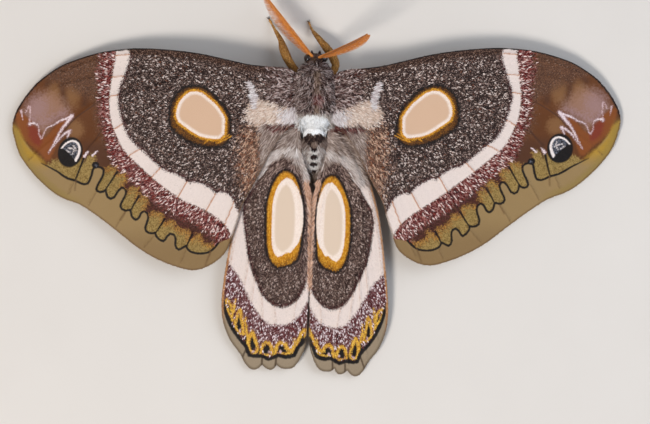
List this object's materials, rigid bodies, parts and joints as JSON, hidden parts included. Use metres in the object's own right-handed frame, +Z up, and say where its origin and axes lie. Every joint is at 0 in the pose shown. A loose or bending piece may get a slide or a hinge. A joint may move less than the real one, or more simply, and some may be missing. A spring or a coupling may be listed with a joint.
{
  "type": "epiphora mythimnia moth, life-size still model",
  "caption": "Life-size still model of a white-ringed atlas moth, resting on its feet with its wings spread flat, feathered antennae and furred body.",
  "frame": {"origin": "centre of the bounding box's footprint, on the floor that the feet rest on", "axes": "+X to the moth's right, along the wingspan; +Y forward, the way the head points; +Z up"},
  "size_m": [0.11, 0.0686, 0.0162],
  "materials": {
    "head_fur": "matte fur of fine scales",
    "eye": "glossy dark compound eye",
    "antenna": "satin orange horn",
    "body_fur": "matte grey-brown fur",
    "abdomen_fur": "matte pale fur with dark bands",
    "forewing_scales": "matte scaled membrane",
    "hindwing_scales": "matte scaled membrane",
    "leg_fur": "matte ochre fur"
  },
  "bodies": {
    "root": {"head": "head_fur", "eye_left": "eye", "eye_right": "eye", "antenna_left": "antenna", "antenna_right": "antenna", "thorax": "body_fur", "abdomen": "abdomen_fur", "forewing_left": "forewing_scales", "forewing_right": "forewing_scales", "hindwing_left": "hindwing_scales", "hindwing_right": "hindwing_scales", "leg_fore_left": "leg_fur", "leg_fore_right": "leg_fur", "leg_middle_left": "leg_fur", "leg_middle_right": "leg_fur", "leg_hind_left": "leg_fur", "leg_hind_right": "leg_fur"}
  },
  "joints": []
}
